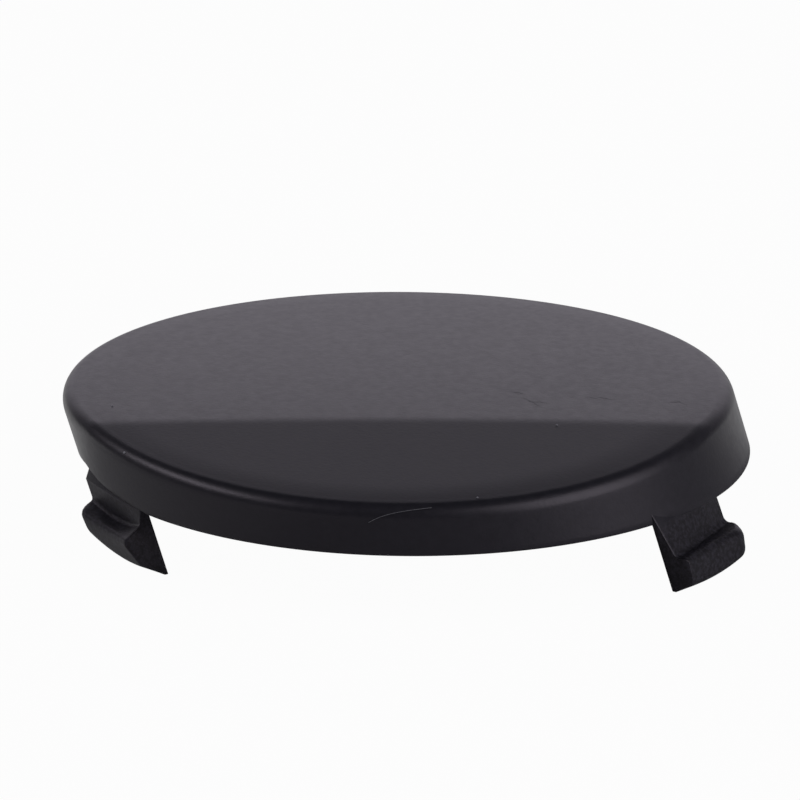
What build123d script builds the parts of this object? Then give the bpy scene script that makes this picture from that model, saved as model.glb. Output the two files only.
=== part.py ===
"""Tow hook cover: a one-piece moulded cap that closes the towing-eye hole of a bumper.

The frame has +Z out of the face and its origin at the centre of the skirt's lower rim.
The skirt and the three barbed clips run along one slanted pull direction, which leans in X.
"""

import os
from math import cos, hypot, radians, sin, tan

from build123d import *

# Driving dimensions, in millimetres and degrees
opening_radius = 34.0  # the round opening, seen along the pull direction
pull_slant = 16.5  # lean of the pull direction from the face's normal
crease_height = 7.8  # crease above the rim, at the top of its arch
crease_y = -14.4  # the crease lies in front of the middle
front_fall = 7.0  # slope of the front facet, down from the crease
rear_fall = 1.23  # slope of the rear facet's chord, down from the crease
rear_radius = 600.0  # arch of the rear facet across Y
crown_radius = 1100.0  # arch of the whole face along X
crown_x = -5.5  # the top of that arch
crown_arc = 6.0  # length of that arch, in degrees, past both ends of the oval
crown_margin = 6.0  # the form of the face reaches this far past the oval in Y and below the rim
crease_fillet = 16.0  # softens the small angle of the crease
edge_fillet = 1.6  # rounding between face and skirt
skirt_wall = 2.6
face_skin = 2.5
hollow_chamfer = 0.8  # slope inside, between ceiling and skirt

clip_angles = (88.5, 208.5, 328.5)  # directions that the three barbs point
clip_width = 10.8
clip_shift = -2.9  # each clip sits to one side of its radial line
clip_inset = 1.65  # from the edge of the oval in to the inner face of an arm
arm_thickness = 1.75
shoulder_rise = 1.3  # slope from the arm's outer face up into the skirt
ledge_depth = 2.9  # from the rim to the barb's ledge, where it meets the arm
ledge_fall = 10.0  # slope of the ledge, down and outwards
nose_proud = 1.8  # from the edge of the oval out to the barb's round nose
nose_margin = 0.6  # the section reaches this far past the nose, before it is cut round
underside_rise = 33.0  # slope of the barb's underside, up from the tip
clip_depth = 7.3  # from the rim to the tips that the cover stands on
tip_land = 0.4  # flat at each tip
neck_fillet = 0.5

# Derived sizes
oval_half_width = opening_radius
oval_half_length = opening_radius / cos(radians(pull_slant))
pull_rise = Vector(-tan(radians(pull_slant)), 0, 1)  # one millimetre up along the pull
pull_foot = pull_rise * -clip_depth  # the middle of the oval at the level of the tips
crown_axis = Axis((crown_x, 0, crease_height - crown_radius), (0, 1, 0))
crown_start = radians(crown_arc / 2)
crown_plane = Plane(
    origin=crown_axis.position,
    x_dir=(0, 1, 0),
    z_dir=(cos(crown_start), 0, sin(crown_start)),
)


def capped_oval(wall, skin):
    """The slanted oval block under the creased face, made smaller by a wall and a skin."""
    form_half_width = oval_half_width + crown_margin
    crease_level = crown_radius - skin
    front_level = crease_level - (form_half_width + crease_y) * tan(radians(front_fall))
    back_level = crease_level - (form_half_width - crease_y) * tan(radians(rear_fall))
    floor_level = crown_radius - crease_height - crown_margin
    crease = (crease_y, crease_level)
    front = (-form_half_width, front_level)
    back = (form_half_width, back_level)
    with BuildPart() as form:
        with BuildSketch():
            Ellipse(oval_half_length - wall, oval_half_width - wall)
        extrude(amount=2 * crease_height, dir=pull_rise)
        with BuildSketch(crown_plane) as face_section:
            with BuildLine():
                Line(front, crease)
                RadiusArc(crease, back, rear_radius)
                Polyline(back, (form_half_width, floor_level), (-form_half_width, floor_level), front)
            make_face()
            fillet(face_section.vertices().sort_by_distance(crease)[0], radius=crease_fillet)
        revolve(axis=crown_axis, revolution_arc=crown_arc, mode=Mode.INTERSECT)
    return form


def upper_rim(form):
    """The edges around the face, where it meets the slanted wall."""
    wall = form.faces().filter_by(GeomType.EXTRUSION).sort_by(SortBy.AREA)[-1]
    return wall.edges().filter_by_position(Axis.Z, crease_height / 2, 2 * crease_height, (False, False))


with BuildPart() as hollow:
    add(capped_oval(skirt_wall, face_skin).part)
    chamfer(upper_rim(hollow), length=hollow_chamfer)

with BuildPart() as clips:
    # One section, sheared along the pull and drawn out sideways, for each clip
    section_reach = clip_inset + nose_proud + nose_margin
    underside_depth = clip_depth - (section_reach - tip_land) * tan(radians(underside_rise))
    ledge_end_depth = ledge_depth + (section_reach - arm_thickness) * tan(radians(ledge_fall))
    section_points = (
        (0, shoulder_rise),
        (0, -clip_depth),
        (tip_land, -clip_depth),
        (section_reach, -underside_depth),
        (section_reach, -ledge_end_depth),
        (arm_thickness, -ledge_depth),
        (arm_thickness, 0),
    )
    section_fillets = (0, 0, 0, 0, 0, neck_fillet, 0)
    for angle in clip_angles:
        outward = Vector(1, 0, 0).rotate(Axis.Z, angle)
        sideways = outward.rotate(Axis.Z, 90)
        oval_edge = hypot(oval_half_length * outward.X, oval_half_width * outward.Y)
        clip_plane = Plane(
            origin=outward * (oval_edge - clip_inset) + sideways * clip_shift,
            x_dir=outward,
            z_dir=outward.cross(pull_rise),
        )
        corners = [
            clip_plane.to_local_coords(clip_plane.origin + outward * reach + pull_rise * height)
            for reach, height in section_points
        ]
        with BuildSketch(clip_plane):
            with BuildLine():
                FilletPolyline(*corners, radius=section_fillets, close=True)
            make_face()
        extrude(amount=clip_width / 2, dir=sideways, both=True)

    # The noses follow the round opening
    with BuildSketch(Plane(pull_foot)):
        Ellipse(oval_half_length + nose_proud, oval_half_width + nose_proud)
    extrude(amount=2 * clip_depth, dir=pull_rise, mode=Mode.INTERSECT)

with BuildPart() as cover:
    add(capped_oval(0, 0).part)
    fillet(upper_rim(cover), radius=edge_fillet)
    add(hollow.part, mode=Mode.SUBTRACT)
    add(clips.part)

os.makedirs("parts", exist_ok=True)
cover.part.label = "tow_hook_cover"
export_step(cover.part, "parts/tow_hook_cover.step")
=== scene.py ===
"""Tow hook cover: the moulded cap in satin black plastic, dressed in the frame of its solids.

Shape sizes are in millimetres and degrees, as in the solids. Materials, lights and camera are in metres.
"""

from math import cos, hypot, pi, radians, sin, tan

import bmesh
import bpy
import numpy as np
from mathutils import Matrix, Vector


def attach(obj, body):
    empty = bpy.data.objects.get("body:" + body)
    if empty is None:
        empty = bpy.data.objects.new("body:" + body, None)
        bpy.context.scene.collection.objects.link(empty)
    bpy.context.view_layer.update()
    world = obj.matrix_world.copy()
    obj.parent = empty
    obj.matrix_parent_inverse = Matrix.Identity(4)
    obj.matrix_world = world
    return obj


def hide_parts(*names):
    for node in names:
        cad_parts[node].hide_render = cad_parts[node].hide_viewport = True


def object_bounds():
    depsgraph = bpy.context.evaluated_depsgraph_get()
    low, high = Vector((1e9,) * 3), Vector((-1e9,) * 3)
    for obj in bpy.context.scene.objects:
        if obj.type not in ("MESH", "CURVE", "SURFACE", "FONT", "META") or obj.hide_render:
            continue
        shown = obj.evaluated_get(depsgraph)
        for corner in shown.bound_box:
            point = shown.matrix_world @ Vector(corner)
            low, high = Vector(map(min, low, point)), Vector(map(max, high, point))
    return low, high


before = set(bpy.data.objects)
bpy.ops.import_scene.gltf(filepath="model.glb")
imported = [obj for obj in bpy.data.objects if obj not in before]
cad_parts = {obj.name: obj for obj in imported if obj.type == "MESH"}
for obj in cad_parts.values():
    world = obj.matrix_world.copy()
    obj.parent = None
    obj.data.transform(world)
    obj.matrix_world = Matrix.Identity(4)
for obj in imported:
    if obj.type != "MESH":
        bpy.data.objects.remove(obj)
cad_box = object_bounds()
MM = 0.001

# Cap
OPENING_RADIUS = 34.0
PULL_SLANT = 16.5  # lean of the pull direction, along which skirt and clips run
CREASE_HEIGHT = 7.8
CREASE_Y = -13.6
CREASE_HALF_WIDTH = 0.8  # the crease is rounded this far to each side
FRONT_FALL = 7.0
REAR_FALL = 1.23
REAR_RADIUS = 600.0
REAR_END_Y = 40.0  # far end of the rear arch's chord
CROWN_RADIUS = 1100.0
CROWN_X = -5.5
EDGE_DROOP = 0.2  # the face sinks a little more near its outline
DROOP_WIDTH = 5.0
DROOP_LIMIT = 1.5  # holds the droop back past the outline
EDGE_RADIUS = 1.6
EDGE_RADIUS_SWING = 0.25  # the edge is rounder on the right than on the left
SKIRT_WALL = 2.6
FACE_SKIN = 2.5
HOLLOW_RADIUS = 0.9
RIM_ROUND = 0.14
# The rim is cut up over the left clip: how high, at these angles round the oval
NOTCH_ANGLES = (182.0, 190.0, 196.7, 201.9, 208.4, 213.1, 217.2, 219.0)
NOTCH_HEIGHTS = (0.0, 1.2, 1.5, 0.9, 0.55, 0.4, 0.2, 0.0)

# Clips
# Each clip: direction of its barb, corner radius in plan at its two ends, and its section at the one end,
# in the middle and at the other end. A section gives how far out of the inner face, and at what level,
# the shoulder, the ledge, the lip and the foot are.
CLIPS = (
    (88.5, 0.4, 0.4, (
        ((1.5, 0.0), (1.6, -2.9), (2.9, -3.1), (2.7, -6.0)),
        ((1.6, 0.0), (1.7, -2.9), (3.4, -3.1), (3.1, -6.1)),
        ((1.6, 0.0), (1.7, -2.9), (3.3, -3.1), (3.0, -6.0)),
    )),
    (208.5, 1.5, 0.25, (
        ((1.35, -0.1), (1.35, -2.4), (3.7, -3.1), (3.4, -5.0)),
        ((1.4, -0.1), (1.2, -3.0), (3.5, -3.3), (3.2, -6.3)),
        ((0.9, -0.35), (1.4, -1.65), (3.95, -3.2), (2.65, -6.0)),
    )),
    (328.5, 0.25, 2.2, (
        ((0.65, 0.1), (1.75, -3.35), (3.2, -3.1), (2.95, -6.05)),
        ((1.25, 0.2), (1.5, -3.2), (3.55, -2.9), (3.4, -6.2)),
        ((1.0, 0.4), (1.15, -3.0), (4.35, -2.8), (3.7, -5.3)),
    )),
)
CLIP_WIDTH = 11.8
CLIP_SHIFT = -2.4  # each clip sits to one side of its radial line
CLIP_INSET = 1.65  # from the edge of the oval in to the inner face
CLIP_DEPTH = 7.3
TIP_LAND = 0.4
SHOULDER_RISE = 1.9  # from the shoulder up to the inner top, inside the skirt
FOOT_LIFT = 0.4  # rise of the foot for each millimetre that a rounded end draws it back
CLIP_FILLETS = (0, 0.12, 0.12, 1.1, 0.8, 0.5, 0.15)  # inner top, two tip corners, foot, lip, ledge, shoulder
FILLET_SHARE = 0.45  # a fillet takes up at most this share of the shorter side next to it
CLIP_EDGE_ROUND = 0.12

# Marks of use that the photograph shows, on the surface of the cap
LINT_PATH = (
    (-4.82, -33.92, 3.64),
    (-4.2, -33.96, 4.02),
    (-3.47, -33.97, 4.31),
    (-2.5, -33.92, 4.6),
    (-1.36, -33.85, 4.8),
    (0.15, -33.65, 4.96),
    (1.55, -33.44, 5.05),
)
LINT_RADIUS = 0.03
SPECKS = (  # place and radius
    (-29.94, -19.84, 6.32, 0.13),
    (-31.65, -8.55, 7.57, 0.1),
    (6.16, -31.55, 5.46, 0.1),
    (14.6, -14.73, 7.48, 0.12),
)
SPECK_UNEVENNESS = 0.35
SCUFFS = (  # X and Y of the start and of the end
    (10.0, -4.8, 11.6, -5.6),
    (11.0, -6.4, 13.0, -9.4),
    (11.8, -7.9, 13.9, -8.3),
    (17.6, -6.0, 19.3, -6.8),
    (19.0, -6.2, 21.2, -7.1),
    (27.2, -6.5, 28.4, -8.2),
    (26.4, -7.4, 27.6, -7.2),
)
SCUFF_WIDTH = 0.12
SCUFF_BOW = 0.12
SCUFF_LIFT = 0.006
SCUFF_BLUNT = 0.04  # the ends of a scuff aren't quite sharp

# Mesh density
AROUND = 384
FACE_RINGS = 90
EDGE_STEPS = 14
WALL_STEPS = 8
HOLLOW_EDGE_STEPS = 5
HOLLOW_RINGS = 24
FILLET_STEPS = 6
CLIP_STATIONS = 40
HUB_DEPTH = 0.6  # middle of the fan that closes an end of a clip, as a share of the clip's depth
SCUFF_POINTS = 14
FIT_ROUNDS = 8
SMALLEST_SWEEP = 1e-6  # keeps an almost straight corner from dividing by nothing
ROUND_MIDDLE = 0.3  # where the point between the ends of a small rounding lies, as a share of its radius
SHARP_ANGLE = 35.0  # edges over this angle aren't shaded smooth

# Stage
FLOOR_HALF_SIZE = 3.0
FLOOR_GREY = (0.56, 0.56, 0.56, 1)
FLOOR_SEEN_WHITE = 0.97  # the camera sees this share of plain white; the rest shows the shadow
LAMP_COLOUR = (0.97, 0.95, 1.0)
SOFTBOXES = (  # name, place, width, height and power
    ("softbox_left", (-0.753, -0.140, 0.643), 0.8, 0.3, 3.0),
    ("softbox_right", (0.785, -0.417, 0.475), 0.8, 0.95, 5.5),
)

OVAL_HALF_LENGTH = OPENING_RADIUS / cos(radians(PULL_SLANT))
OVAL_HALF_WIDTH = OPENING_RADIUS
PULL_RISE = np.array((-tan(radians(PULL_SLANT)), 0.0, 1.0))  # one millimetre up along the pull


def unit(vectors):
    return vectors / np.linalg.norm(vectors, axis=-1, keepdims=True)


def profile_rise(y):
    """Height of the face over its crease, along the top of the arch."""
    along = y - CREASE_Y
    front_slope = tan(radians(FRONT_FALL))
    chord_slope = -tan(radians(REAR_FALL))
    rear_slope = chord_slope + (REAR_END_Y - CREASE_Y) / (2 * REAR_RADIUS)
    front = along * front_slope
    rear = along * chord_slope + along * (REAR_END_Y - y) / (2 * REAR_RADIUS)
    turn = (rear_slope - front_slope) * (along + CREASE_HALF_WIDTH) ** 2 / (4 * CREASE_HALF_WIDTH)
    near = np.where(along < -CREASE_HALF_WIDTH, front, front + turn)
    return np.where(along > CREASE_HALF_WIDTH, rear, near)


def face_height(x, y, skin=0.0):
    """Height of the face, or of the ceiling a skin below it."""
    level = CROWN_RADIUS + profile_rise(y) - skin
    outline_x = CREASE_HEIGHT * PULL_RISE[0]
    spread = np.hypot((x - outline_x) / OVAL_HALF_LENGTH, y / OVAL_HALF_WIDTH)
    from_edge = (1 - spread) * OPENING_RADIUS
    droop = EDGE_DROOP * np.clip(1 - from_edge / DROOP_WIDTH, 0, DROOP_LIMIT) ** 2
    return CREASE_HEIGHT - CROWN_RADIUS + np.sqrt(level**2 - (x - CROWN_X) ** 2) - droop


def face_normal(x, y, skin):
    step = 0.01
    slope_x = (face_height(x + step, y, skin) - face_height(x - step, y, skin)) / (2 * step)
    slope_y = (face_height(x, y + step, skin) - face_height(x, y - step, skin)) / (2 * step)
    return unit(np.stack((-slope_x, -slope_y, np.ones_like(x)), axis=-1))


def between_directions(start, end, sweep, share):
    """The vector part of the way round the arc from start to end."""
    return (np.sin((1 - share) * sweep) * start + np.sin(share * sweep) * end) / np.sin(sweep)


def cap_rings(wall, skin, edge_radius, rim_round, edge_steps, face_rings):
    """Rings of points from the rim up the slanted wall, round the edge and in to the middle of the face."""
    angle = np.linspace(0, 2 * pi, AROUND, endpoint=False)
    half_length = OVAL_HALF_LENGTH - wall
    half_width = OVAL_HALF_WIDTH - wall
    level = np.zeros(AROUND)
    foot = np.stack((half_length * np.cos(angle), half_width * np.sin(angle), level), axis=-1)
    normal_x = half_width * np.cos(angle)
    normal_y = half_length * np.sin(angle)
    wall_normal = unit(np.stack((normal_x, normal_y, -normal_x * PULL_RISE[0]), axis=-1))

    # The sharp corner of wall and face, found step by step
    height = np.full(AROUND, CREASE_HEIGHT)
    for _ in range(FIT_ROUNDS):
        corner = foot + height[:, None] * PULL_RISE
        height = face_height(corner[:, 0], corner[:, 1], skin)
    corner = foot + height[:, None] * PULL_RISE
    top_normal = face_normal(corner[:, 0], corner[:, 1], skin)

    # A ball that touches both rounds the edge
    radius = edge_radius(angle)[:, None]
    between = np.sum(wall_normal * top_normal, axis=1, keepdims=True)
    ball = corner - radius / (1 + between) * (wall_normal + top_normal)
    sweep = np.arccos(between)
    edge = []
    for step in range(edge_steps + 1):
        edge.append(ball + radius * between_directions(wall_normal, top_normal, sweep, step / edge_steps))

    wall_top = edge[0]
    notch = np.interp(np.degrees(angle), NOTCH_ANGLES, NOTCH_HEIGHTS)
    wall_foot = wall_top + (notch[:, None] - wall_top[:, 2:]) * PULL_RISE
    inward = np.stack((-np.cos(angle), -np.sin(angle), level), axis=-1) * rim_round
    rise = abs(rim_round) * PULL_RISE
    below = [wall_foot + inward, wall_foot + ROUND_MIDDLE * inward + ROUND_MIDDLE * rise]
    start = wall_foot + rise
    below += [start + (wall_top - start) * (step / WALL_STEPS) for step in range(WALL_STEPS)]

    outline = edge[-1]
    middle = outline.mean(axis=0)
    face = []
    for step in range(1, face_rings):
        flat = outline + (middle - outline) * (step / face_rings)
        flat[:, 2] = face_height(flat[:, 0], flat[:, 1], skin)
        face.append(flat)
    return below + edge + face


def ring_faces(first, count, flip):
    """Quads between rings of points, from ring number first, and the face in the middle of the last."""
    near = np.arange(AROUND)
    far = np.roll(near, -1)
    faces = []
    for ring in range(first, first + count - 1):
        low = ring * AROUND
        high = low + AROUND
        for a, b in zip(near, far):
            quad = (low + a, low + b, high + b, high + a)
            faces.append(quad[::-1] if flip else quad)
    last = (first + count - 1) * AROUND
    middle = tuple(last + near)
    faces.append(middle[::-1] if flip else middle)
    return faces


def outer_edge_radius(angle):
    return EDGE_RADIUS + EDGE_RADIUS_SWING * np.cos(angle)


def hollow_edge_radius(angle):
    return np.full_like(angle, HOLLOW_RADIUS)


def cap_mesh():
    """Points and faces of the cap: outer form, hollow and flat rim between them."""
    outer = cap_rings(0.0, 0.0, outer_edge_radius, RIM_ROUND, EDGE_STEPS, FACE_RINGS)
    hollow = cap_rings(
        SKIRT_WALL, FACE_SKIN, hollow_edge_radius, -RIM_ROUND, HOLLOW_EDGE_STEPS, HOLLOW_RINGS
    )
    points = np.concatenate(outer + hollow)
    faces = ring_faces(0, len(outer), False) + ring_faces(len(outer), len(hollow), True)
    hollow_foot = len(outer) * AROUND
    for a in range(AROUND):
        b = (a + 1) % AROUND
        faces.append((a, hollow_foot + a, hollow_foot + b, b))
    return points, faces


def rounded_outline(corners, radii):
    """A closed outline with an arc at each corner that has a radius."""
    corners = [np.array(corner, dtype=float) for corner in corners]
    outline = []
    for index, (corner, radius) in enumerate(zip(corners, radii)):
        if not radius:
            outline.append(corner)
            continue
        back = corners[index - 1] - corner
        ahead = corners[(index + 1) % len(corners)] - corner
        shortest = min(np.linalg.norm(back), np.linalg.norm(ahead))
        back = unit(back)
        ahead = unit(ahead)
        half_turn = np.arccos(np.clip(back @ ahead, -1, 1)) / 2
        reach = min(radius / np.tan(half_turn), FILLET_SHARE * shortest)
        radius = reach * np.tan(half_turn)
        centre = corner + unit(back + ahead) * radius / np.sin(half_turn)
        start = corner + back * reach - centre
        end = corner + ahead * reach - centre
        sweep = max(np.arccos(np.clip(start @ end / radius**2, -1, 1)), SMALLEST_SWEEP)
        for step in range(FILLET_STEPS + 1):
            outline.append(centre + between_directions(start, end, sweep, step / FILLET_STEPS))
    return np.array(outline)


def drawn_in(outline, distance):
    """The outline moved inwards, for the rounded ends of a clip."""
    ahead = unit(np.roll(outline, -1, axis=0) - outline)
    back = np.roll(ahead, 1, axis=0)
    normal = unit(np.stack((-(ahead + back)[:, 1], (ahead + back)[:, 0]), axis=-1))
    return outline + normal * distance


def corner_draw(distance, radius):
    """How far a nose draws back near an end that is rounded in plan."""
    short = max(radius - distance, 0.0)
    return radius - np.sqrt(radius**2 - short**2)


def clip_section(sections, share, drawn):
    """Section of a clip part of the way along it: how far out it is, and how far up along the pull."""
    weights = ((1 - share) * (1 - 2 * share), 4 * share * (1 - share), share * (2 * share - 1))
    shoulder, ledge, lip, foot = np.tensordot(weights, np.array(sections), axes=1)
    corners = (
        (0, shoulder[1] + SHOULDER_RISE),
        (0, -CLIP_DEPTH),
        (TIP_LAND, -CLIP_DEPTH),
        (foot[0] - drawn, foot[1] + FOOT_LIFT * drawn),
        (lip[0] - drawn, lip[1]),
        ledge,
        shoulder,
    )
    return rounded_outline(corners, CLIP_FILLETS)


def clip_stations():
    """Places along a clip, and how far its section is drawn in there to round the ends."""
    half = CLIP_WIDTH / 2
    end = CLIP_EDGE_ROUND
    first = [(-half, end), (-half + ROUND_MIDDLE * end, ROUND_MIDDLE * end), (-half + end, 0.0)]
    between = [(place, 0.0) for place in np.linspace(-half + 2 * end, half - 2 * end, CLIP_STATIONS)]
    last = [(half - end, 0.0), (half - ROUND_MIDDLE * end, ROUND_MIDDLE * end), (half, end)]
    return first + between + last


def clip_mesh(clip_angle, first_corner, last_corner, sections):
    """Points and faces of one clip: its changing section set along its width, closed by fans at the ends."""
    outward = np.array((cos(radians(clip_angle)), sin(radians(clip_angle)), 0.0))
    sideways = np.array((-outward[1], outward[0], 0.0))
    oval_edge = hypot(OVAL_HALF_LENGTH * outward[0], OVAL_HALF_WIDTH * outward[1])
    origin = outward * (oval_edge - CLIP_INSET) + sideways * CLIP_SHIFT
    half = CLIP_WIDTH / 2
    rows = []
    for along, inset in clip_stations():
        drawn = corner_draw(half + along, first_corner) + corner_draw(half - along, last_corner)
        section = clip_section(sections, (along + half) / CLIP_WIDTH, drawn)
        outline = drawn_in(section, inset) if inset else section
        rows.append(origin + sideways * along + outline[:, :1] * outward + outline[:, 1:] * PULL_RISE)

    size = len(rows[0])
    faces = []
    for row in range(len(rows) - 1):
        for a in range(size):
            b = (a + 1) % size
            faces.append((row * size + a, row * size + b, (row + 1) * size + b, (row + 1) * size + a))
    for row, turn in ((0, -1), (len(rows) - 1, 1)):
        hub = size * len(rows) + (row > 0)
        ring = [row * size + a for a in range(size)][::turn]
        faces += [(hub, ring[a - 1], ring[a]) for a in range(size)]
    hub_place = origin + TIP_LAND * outward - HUB_DEPTH * CLIP_DEPTH * PULL_RISE
    hubs = np.array((hub_place - sideways * half, hub_place + sideways * half))
    return np.concatenate(rows + [hubs]), faces


def speck_mesh():
    """Grains of dust, each an uneven lump half sunk in the surface."""
    lumps = bmesh.new()
    for x, y, z, size in SPECKS:
        made = bmesh.ops.create_icosphere(lumps, subdivisions=2, radius=size * MM)
        for corner in made["verts"]:
            wave = sin(9000 * corner.co.x + 100 * x) * cos(7000 * corner.co.y + 50 * y)
            corner.co = corner.co * (1 + SPECK_UNEVENNESS * wave) + Vector((x, y, z)) * MM
    mesh = bpy.data.meshes.new("dust_specks")
    lumps.to_mesh(mesh)
    lumps.free()
    return mesh


def scuff_mesh():
    """Fine scuffs as tapered slips that follow the face."""
    share = np.linspace(0, 1, SCUFF_POINTS)
    points = []
    faces = []
    for x0, y0, x1, y1 in SCUFFS:
        x = x0 + (x1 - x0) * share
        y = y0 + (y1 - y0) * share + SCUFF_BOW * np.sin(pi * share)
        across = unit(np.array((y0 - y1, x1 - x0))) * SCUFF_WIDTH / 2
        first = len(points)
        for i in range(SCUFF_POINTS):
            for side in (-1, 1):
                taper = side * sin(pi * (SCUFF_BLUNT + (1 - 2 * SCUFF_BLUNT) * share[i]))
                place = np.array((x[i], y[i])) + across * taper
                points.append((*place, face_height(*place) + SCUFF_LIFT))
        for i in range(first, first + 2 * SCUFF_POINTS - 2, 2):
            faces.append((i, i + 1, i + 3, i + 2))
    mesh = bpy.data.meshes.new("face_scuffs")
    mesh.from_pydata((np.array(points) * MM).tolist(), [], faces)
    return mesh


def lint_curve():
    """One fine fibre lying along the front edge."""
    curve = bpy.data.curves.new("lint_fibre", "CURVE")
    curve.dimensions = "3D"
    curve.bevel_depth = LINT_RADIUS * MM
    strand = curve.splines.new("NURBS")
    strand.points.add(len(LINT_PATH) - 1)
    for point, place in zip(strand.points, LINT_PATH):
        point.co = (*[value * MM for value in place], 1)
    strand.order_u = 3
    strand.use_endpoint_u = True
    return curve


def new_material(name):
    material = bpy.data.materials.new(name)
    material.use_nodes = True
    return material, material.node_tree, material.node_tree.nodes["Principled BSDF"]


def coordinates(tree, kind):
    """The place on the object or in the sky, and its X, Y and Z."""
    place = tree.nodes.new("ShaderNodeTexCoord").outputs[kind]
    axes = tree.nodes.new("ShaderNodeSeparateXYZ")
    tree.links.new(place, axes.inputs["Vector"])
    return place, axes.outputs


def noise(tree, place, scale, detail):
    node = tree.nodes.new("ShaderNodeTexNoise")
    node.inputs["Scale"].default_value = scale
    node.inputs["Detail"].default_value = detail
    tree.links.new(place, node.inputs["Vector"])
    return node.outputs["Fac"]


def map_range(tree, value, from_range, to_range, kind="LINEAR"):
    node = tree.nodes.new("ShaderNodeMapRange")
    node.interpolation_type = kind
    node.inputs["From Min"].default_value, node.inputs["From Max"].default_value = from_range
    node.inputs["To Min"].default_value, node.inputs["To Max"].default_value = to_range
    tree.links.new(value, node.inputs["Value"])
    return node.outputs["Result"]


def colour_ramp(tree, factor, stops):
    """A ramp through stops, each a position and a colour."""
    node = tree.nodes.new("ShaderNodeValToRGB")
    elements = node.color_ramp.elements
    elements[0].position, elements[0].color = stops[0]
    elements[1].position, elements[1].color = stops[-1]
    for position, colour in stops[1:-1]:
        elements.new(position).color = colour
    tree.links.new(factor, node.inputs["Fac"])
    return node.outputs["Color"]


def calculate(tree, operation, *terms):
    """A maths node, whose terms are numbers or outputs of other nodes."""
    node = tree.nodes.new("ShaderNodeMath")
    node.operation = operation
    for socket, term in zip(node.inputs, terms):
        if isinstance(term, float):
            socket.default_value = term
        else:
            tree.links.new(term, socket)
    return node.outputs["Value"]


def plastic_material():
    """Satin black plastic with a fine moulded grain, which is rougher and speckled on the clips."""
    material, tree, shader = new_material("satin_black_plastic")
    links = tree.links
    shader.inputs["IOR"].default_value = 1.45
    shader.inputs["Specular Tint"].default_value = (1.0, 0.92, 1.0, 1)
    place, axes = coordinates(tree, "Object")
    on_clips = map_range(tree, axes["Z"], (0.0002, -0.0004), (0.0, 1.0))
    mottle = noise(tree, place, 1100, 5)
    grain = noise(tree, place, 2600, 3)

    face_tint = colour_ramp(
        tree, mottle, ((0.3, (0.0135, 0.0134, 0.0176, 1)), (0.7, (0.0165, 0.0163, 0.0213, 1)))
    )
    speckle = colour_ramp(tree, grain, ((0.42, (0.006, 0.006, 0.008, 1)), (0.64, (0.025, 0.024, 0.032, 1))))
    colour = tree.nodes.new("ShaderNodeMix")
    colour.data_type = "RGBA"
    links.new(on_clips, colour.inputs["Factor"])
    links.new(face_tint, colour.inputs["A"])
    links.new(speckle, colour.inputs["B"])
    links.new(colour.outputs["Result"], shader.inputs["Base Color"])

    sheen = map_range(tree, mottle, (0.3, 0.7), (0.366, 0.414))
    links.new(calculate(tree, "MULTIPLY_ADD", on_clips, 0.06, sheen), shader.inputs["Roughness"])

    relief = tree.nodes.new("ShaderNodeBump")
    relief.inputs["Distance"].default_value = 0.00002
    links.new(map_range(tree, on_clips, (0.0, 1.0), (0.55, 1.0)), relief.inputs["Strength"])
    links.new(grain, relief.inputs["Height"])
    links.new(relief.outputs["Normal"], shader.inputs["Normal"])
    return material


def pale_material(name, dark, light, roughness):
    """Dust, lint or scuffed plastic: a pale tone that changes from place to place."""
    material, tree, shader = new_material(name)
    shader.inputs["Roughness"].default_value = roughness
    place, _ = coordinates(tree, "Object")
    tones = [(tone, tone, 1.1 * tone, 1) for tone in (dark, light)]
    tint = colour_ramp(tree, noise(tree, place, 2500, 2), ((0.0, tones[0]), (1.0, tones[1])))
    tree.links.new(tint, shader.inputs["Base Color"])
    return material


def floor_material():
    """Grey paint that takes the light, which the camera sees as white and reflections see as a painted glow
    behind and beside.
    """
    material, tree, paint = new_material("floor_white")
    paint.inputs["Base Color"].default_value = FLOOR_GREY
    paint.inputs["Roughness"].default_value = 0.9
    glow = tree.nodes.new("ShaderNodeEmission")
    glow.inputs["Strength"].default_value = 1.0
    _, axes = coordinates(tree, "Object")
    # Reflected rays see a painted glow on the floor, behind the cover and to its left, which paints bright
    # reflections onto the cover's walls.
    to_the_right = calculate(tree, "MAXIMUM", axes["X"], 0.0)
    far_back = calculate(tree, "MULTIPLY_ADD", to_the_right, -0.42, axes["Y"])
    behind = map_range(tree, far_back, (-0.001, 0.02), (0.0, 0.58), "SMOOTHSTEP")
    beside = map_range(tree, axes["X"], (-0.02, -0.034), (0.0, 0.17))

    ray = tree.nodes.new("ShaderNodeLightPath").outputs
    reflected = calculate(tree, "ADD", ray["Is Glossy Ray"], ray["Is Transmission Ray"])
    mirrored = calculate(tree, "MULTIPLY", reflected, calculate(tree, "ADD", behind, beside))
    white = calculate(tree, "MULTIPLY_ADD", ray["Is Camera Ray"], FLOOR_SEEN_WHITE, mirrored)
    blend = tree.nodes.new("ShaderNodeMixShader")
    tree.links.new(white, blend.inputs["Fac"])
    tree.links.new(paint.outputs["BSDF"], blend.inputs[1])
    tree.links.new(glow.outputs["Emission"], blend.inputs[2])
    tree.links.new(blend.outputs["Shader"], tree.nodes["Material Output"].inputs["Surface"])
    return material


def add_object(name, data, material):
    data.materials.append(material)
    made = bpy.data.objects.new(name, data)
    bpy.context.scene.collection.objects.link(made)
    return made


def add_cover():
    """The whole moulding as one piece, in place of its solid."""
    all_points = []
    all_faces = []
    count = 0
    for points, faces in [cap_mesh()] + [clip_mesh(*clip) for clip in CLIPS]:
        all_points.append(points)
        all_faces += [tuple(corner + count for corner in face) for face in faces]
        count += len(points)
    mesh = bpy.data.meshes.new("cover_moulding")
    mesh.from_pydata((np.concatenate(all_points) * MM).tolist(), [], all_faces)
    mesh.validate()
    mesh.shade_smooth()
    mesh.set_sharp_from_angle(angle=radians(SHARP_ANGLE))
    cover = add_object("cover_moulding", mesh, plastic_material())
    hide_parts("tow_hook_cover")
    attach(cover, "root")


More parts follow.
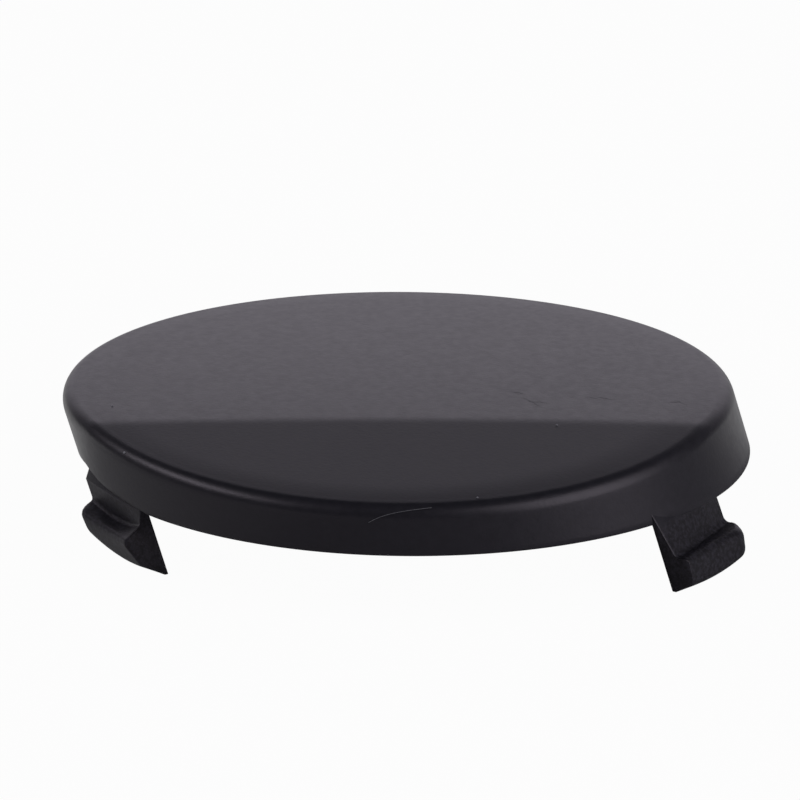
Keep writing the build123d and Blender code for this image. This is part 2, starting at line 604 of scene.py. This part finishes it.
def add_mark(name, data, material):
    """A thin mark that rides on the cover."""
    mark = add_object(name, data, material)
    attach(mark, "root")


def add_floor(level):
    """Pale floor that the camera sees as white, with a soft shadow under the cover."""
    half = FLOOR_HALF_SIZE
    mesh = bpy.data.meshes.new("floor")
    corners = [(-half, -half, level), (half, -half, level), (half, half, level), (-half, half, level)]
    mesh.from_pydata(corners, [], [(0, 1, 2, 3)])
    floor = add_object("floor", mesh, floor_material())


def add_softbox(name, place, width, height, power):
    """A rectangular lamp that points at the cover."""
    lamp = bpy.data.lights.new(name, "AREA")
    lamp.shape = "RECTANGLE"
    lamp.size = width
    lamp.size_y = height
    lamp.energy = power
    lamp.color = LAMP_COLOUR
    box = bpy.data.objects.new(name, lamp)
    box.location = place
    box.rotation_euler = (-Vector(place)).to_track_quat("-Z", "Y").to_euler()
    bpy.context.scene.collection.objects.link(box)


def add_world():
    """Studio surroundings: a pale backdrop low down behind, dimmer in front and dark overhead."""
    world = bpy.data.worlds.new("studio")
    bpy.context.scene.world = world
    world.use_nodes = True
    tree = world.node_tree
    background = tree.nodes["Background"]
    _, axes = coordinates(tree, "Generated")
    levels = ((0.0, 0.70), (0.20, 0.78), (0.38, 1.48), (0.46, 0.56), (0.55, 0.15), (0.70, 0.09))
    stops = [(position, (level, 0.95 * level, 1.05 * level, 1)) for position, level in levels]
    stops.append((1.0, (0.10, 0.10, 0.11, 1)))
    behind = map_range(tree, axes["Y"], (0.74, 0.92), (0.05, 1.0), "SMOOTHSTEP")
    tree.links.new(colour_ramp(tree, axes["Z"], stops), background.inputs["Color"])
    tree.links.new(behind, background.inputs["Strength"])


def add_camera():
    """The photograph's viewpoint: a long lens, a little above the face."""
    distance = 0.7
    elevation = radians(18.472)
    roll = radians(-0.0965)
    target = Vector((-0.0016244, 0.0, 0.0053428))
    pixels_per_unit_slope = 6623.1
    image_width = 800
    back = Vector((0, -cos(elevation), sin(elevation)))
    right = Vector((1, 0, 0))
    up = back.cross(right)
    lens = bpy.data.cameras.new("camera")
    lens.sensor_width = 36
    lens.lens = pixels_per_unit_slope * lens.sensor_width / image_width
    camera = bpy.data.objects.new("camera", lens)
    axes = (right * cos(roll) + up * sin(roll), up * cos(roll) - right * sin(roll), back)
    camera.matrix_world = Matrix.Translation(target + back * distance) @ Matrix(axes).transposed().to_4x4()
    bpy.context.scene.collection.objects.link(camera)
    bpy.context.scene.camera = camera


bpy.context.scene.view_settings.view_transform = "Standard"
add_cover()
add_mark("lint_fibre", lint_curve(), pale_material("lint", 0.07, 0.2, 0.7))
add_mark("dust_specks", speck_mesh(), pale_material("dust", 0.12, 0.35, 0.8))
add_mark("face_scuffs", scuff_mesh(), pale_material("scuffed_plastic", 0.03, 0.09, 0.6))
add_floor(cad_box[0][2])
add_world()
for softbox in SOFTBOXES:
    add_softbox(*softbox)
add_camera()
